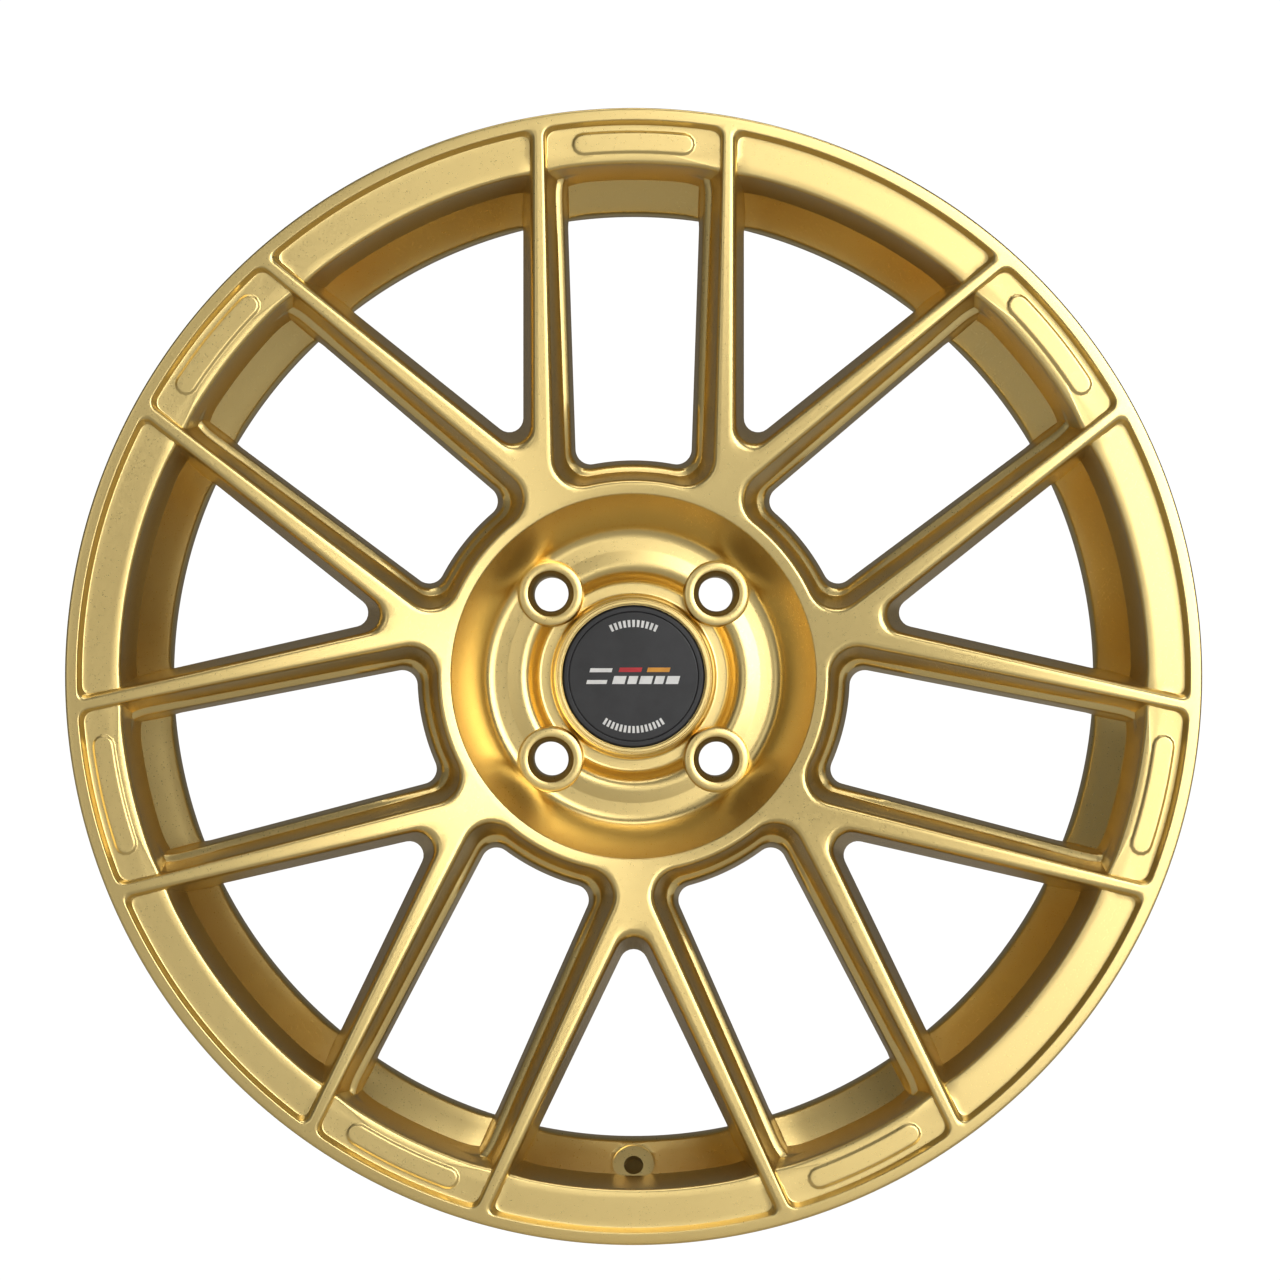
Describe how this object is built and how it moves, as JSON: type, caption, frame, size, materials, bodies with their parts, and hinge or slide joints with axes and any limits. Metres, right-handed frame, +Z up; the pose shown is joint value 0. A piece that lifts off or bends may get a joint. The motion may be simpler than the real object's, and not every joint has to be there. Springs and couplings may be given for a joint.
{
  "type": "forged racing wheel rim",
  "caption": "One-piece forged wheel rim with paired straight spokes, parallel and triangular windows, a bolt bowl and a snap-in centre cap.",
  "frame": {"origin": "on the wheel's axis, halfway through the rim's width, the centre of its box", "axes": "+Y along the axis towards the car, so the street face looks along -Y; +Z up, through the middle of a parallel window, with the valve hole straight down; +X to the right as seen from the street"},
  "size_m": [0.4712, 0.2028, 0.4712],
  "materials": {
    "gold_paint": "satin",
    "cap_black": "satin",
    "badge_foil": "satin",
    "ring_plastic": "matte",
    "spring_steel": "satin"
  },
  "bodies": {
    "wheel": {"front_flange": "gold_paint", "front_bead_seat": "gold_paint", "front_well_side": "gold_paint", "drop_well": "gold_paint", "rear_well_side": "gold_paint", "rear_barrel": "gold_paint", "rear_bead_seat": "gold_paint", "rear_flange": "gold_paint", "wheel_centre": "gold_paint", "spoke_01": "gold_paint", "spoke_02": "gold_paint", "spoke_03": "gold_paint", "spoke_04": "gold_paint", "spoke_05": "gold_paint", "spoke_06": "gold_paint", "spoke_07": "gold_paint", "spoke_08": "gold_paint", "spoke_09": "gold_paint", "spoke_10": "gold_paint", "spoke_11": "gold_paint", "spoke_12": "gold_paint", "spoke_13": "gold_paint", "spoke_14": "gold_paint", "hub_ring": "ring_plastic"},
    "cap": {"cap_shell": "cap_black", "cap_badge": "badge_foil", "cap_wire_ring": "spring_steel"}
  },
  "joints": [
    {"name": "cap_pull_off", "type": "slide", "parent": "wheel", "child": "cap", "axis": [0, -1, 0], "range_m": [0, 0.07]}
  ]
}
